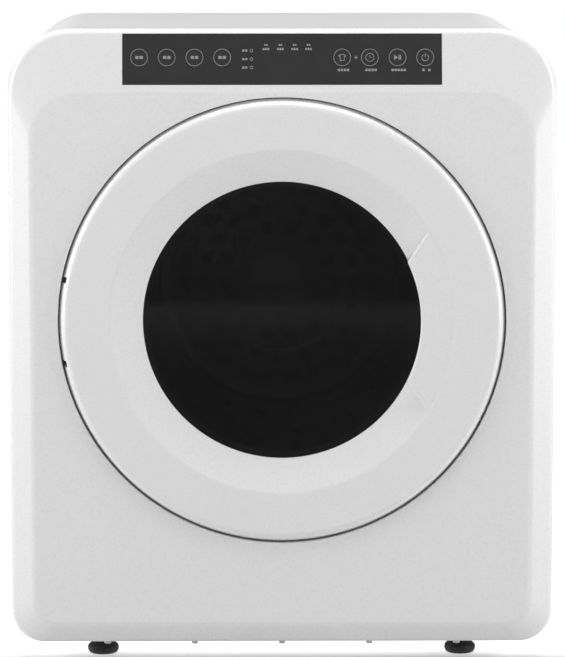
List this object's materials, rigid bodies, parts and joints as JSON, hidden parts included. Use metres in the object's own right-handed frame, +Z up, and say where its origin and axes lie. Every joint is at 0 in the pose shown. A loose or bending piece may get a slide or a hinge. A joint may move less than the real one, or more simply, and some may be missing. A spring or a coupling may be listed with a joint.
{
  "type": "clothes dryer",
  "caption": "Compact front-loading vented clothes dryer with a round porthole door, a black key strip, a belt-driven drum and a rear exhaust collar.",
  "frame": {"origin": "middle of the overall footprint, on the floor under the feet", "axes": "+Z up, -Y out of the front of the machine towards the user, +X to the right of a person facing the door"},
  "size_m": [0.495, 0.427, 0.58],
  "materials": {
    "white_plastic": "fine satin moulding",
    "white_paint": "satin powder paint",
    "galvanised_steel": "galvanised sheet",
    "drum_steel": "pressed stainless sheet",
    "machined_steel": "turned steel",
    "screw_steel": "zinc plated",
    "strip_black": "dark acrylic",
    "key_black": "dark acrylic",
    "board_green": "solder mask",
    "tinted_pane": "smoked, glossy",
    "clear_bowl": "clear, glossy",
    "rubber_black": "moulded rubber",
    "rubber_grey": "silicone seal",
    "felt_grey": "pressed felt",
    "filter_plastic": "moulded grille",
    "filter_mesh": "fine woven screen",
    "fan_plastic": "glass-filled moulding",
    "duct_plastic": "moulded duct",
    "grey_plastic": "moulded collar",
    "heater_aluminium": "finned block",
    "hub_aluminium": "die cast",
    "motor_shell": "dark enamel",
    "capacitor_shell": "moulded case",
    "lifter_plastic": "moulded baffle",
    "magnet_brown": "magnet in a plastic case"
  },
  "bodies": {
    "cabinet": {"front_panel": "white_plastic", "front_panel_screws": "screw_steel", "cabinet_wrap": "white_paint", "base_pan": "galvanised_steel", "feet": "rubber_black", "rear_panel": "galvanised_steel", "rear_panel_screws": "screw_steel", "exhaust_collar": "grey_plastic", "cord_gland": "rubber_black", "control_strip": "strip_black", "control_board": "board_green", "door_magnet": "magnet_brown", "hinge_bracket": "galvanised_steel", "hinge_pin": "machined_steel", "hinge_screws": "screw_steel", "door_switch": "fan_plastic", "front_bulkhead": "galvanised_steel", "porthole_ring": "duct_plastic", "front_felt_seal": "felt_grey", "rear_bulkhead": "galvanised_steel", "rear_felt_seals": "felt_grey", "bearing_bracket": "galvanised_steel", "drum_axle": "machined_steel", "fan_housing": "duct_plastic", "heater_duct": "galvanised_steel", "ptc_heater": "heater_aluminium", "motor_casing": "motor_shell", "motor_cradle": "galvanised_steel", "motor_capacitor": "capacitor_shell", "drum_belt": "rubber_black", "fan_belt": "rubber_black", "tensioner_spring": "machined_steel"},
    "door": {"door_outer_ring": "white_plastic", "door_inner_ring": "white_plastic", "door_window": "tinted_pane", "door_bowl": "clear_bowl", "door_gasket": "rubber_grey", "door_screws": "screw_steel", "door_hinge_leaf": "galvanised_steel", "door_strike_plate": "machined_steel"},
    "drum": {"drum_shell": "drum_steel", "drum_rear_wall": "drum_steel", "drum_lifters": "lifter_plastic", "drum_hub": "hub_aluminium"},
    "lint_filter": {"lint_filter_frame": "filter_plastic", "lint_filter_mesh": "filter_mesh"},
    "fan": {"fan_wheel": "fan_plastic"},
    "rotor": {"motor_rotor": "machined_steel"},
    "tensioner": {"tensioner_arm": "galvanised_steel"},
    "tensioner_roller": {"tensioner_wheel": "fan_plastic"},
    "switch_plunger": {"door_switch_plunger": "grey_plastic"},
    "key_1": {"key_1": "key_black"},
    "key_2": {"key_2": "key_black"},
    "key_3": {"key_3": "key_black"},
    "key_4": {"key_4": "key_black"},
    "key_5": {"key_5": "key_black"},
    "key_6": {"key_6": "key_black"},
    "key_7": {"key_7": "key_black"},
    "key_8": {"key_8": "key_black"}
  },
  "joints": [
    {"name": "door_hinge", "type": "hinge", "parent": "cabinet", "child": "door", "pos_m": [-0.187, -0.2079, 0.316], "axis": [0, 0, -1], "range_deg": [0, 110]},
    {"name": "drum_spin", "type": "hinge", "parent": "cabinet", "child": "drum", "pos_m": [0, -0.0075, 0.316], "axis": [0, 1, 0], "continuous": true},
    {"name": "rotor_spin", "type": "hinge", "parent": "cabinet", "child": "rotor", "pos_m": [0.15, 0.0225, 0.085], "axis": [0, 1, 0], "continuous": true},
    {"name": "fan_spin", "type": "hinge", "parent": "cabinet", "child": "fan", "pos_m": [0, 0.1425, 0.316], "axis": [0, 1, 0], "continuous": true},
    {"name": "filter_slide", "type": "slide", "parent": "drum", "child": "lint_filter", "axis": [0, -1, 0], "range_m": [0, 0.06]},
    {"name": "tensioner_swing", "type": "hinge", "parent": "cabinet", "child": "tensioner", "pos_m": [0.018, 0.0795, 0.05], "axis": [0, 1, 0], "range_deg": [0, 12], "stiffness_Nm_per_rad": 4, "springref_deg": -6.88, "deforming": ["tensioner_spring"]},
    {"name": "tensioner_roller_spin", "type": "hinge", "parent": "tensioner", "child": "tensioner_roller", "pos_m": [0.05661, 0.0885, 0.07274], "axis": [0, 1, 0], "continuous": true},
    {"name": "switch_slide", "type": "slide", "parent": "cabinet", "child": "switch_plunger", "axis": [0, -1, 0], "range_m": [0, 0.004]},
    {"name": "key_1_press", "type": "slide", "parent": "cabinet", "child": "key_1", "axis": [0, 0.9785, -0.206], "range_m": [0, 0.0006], "stiffness_N_per_m": 800, "springref_m": -0.0003},
    {"name": "key_2_press", "type": "slide", "parent": "cabinet", "child": "key_2", "axis": [0, 0.9785, -0.206], "range_m": [0, 0.0006], "stiffness_N_per_m": 800, "springref_m": -0.0003},
    {"name": "key_3_press", "type": "slide", "parent": "cabinet", "child": "key_3", "axis": [0, 0.9785, -0.206], "range_m": [0, 0.0006], "stiffness_N_per_m": 800, "springref_m": -0.0003},
    {"name": "key_4_press", "type": "slide", "parent": "cabinet", "child": "key_4", "axis": [0, 0.9785, -0.206], "range_m": [0, 0.0006], "stiffness_N_per_m": 800, "springref_m": -0.0003},
    {"name": "key_5_press", "type": "slide", "parent": "cabinet", "child": "key_5", "axis": [0, 0.9785, -0.206], "range_m": [0, 0.0006], "stiffness_N_per_m": 800, "springref_m": -0.0003},
    {"name": "key_6_press", "type": "slide", "parent": "cabinet", "child": "key_6", "axis": [0, 0.9785, -0.206], "range_m": [0, 0.0006], "stiffness_N_per_m": 800, "springref_m": -0.0003},
    {"name": "key_7_press", "type": "slide", "parent": "cabinet", "child": "key_7", "axis": [0, 0.9785, -0.206], "range_m": [0, 0.0006], "stiffness_N_per_m": 800, "springref_m": -0.0003},
    {"name": "key_8_press", "type": "slide", "parent": "cabinet", "child": "key_8", "axis": [0, 0.9785, -0.206], "range_m": [0, 0.0006], "stiffness_N_per_m": 800, "springref_m": -0.0003}
  ],
  "couplings": [
    {"joint": "rotor_spin", "follows": "drum_spin", "ratio": 24.571},
    {"joint": "fan_spin", "follows": "drum_spin", "ratio": 36.857},
    {"joint": "tensioner_roller_spin", "follows": "drum_spin", "ratio": -15.529},
    {"joint": "switch_slide", "follows": "door_hinge", "m_per_rad": 0.00208}
  ]
}
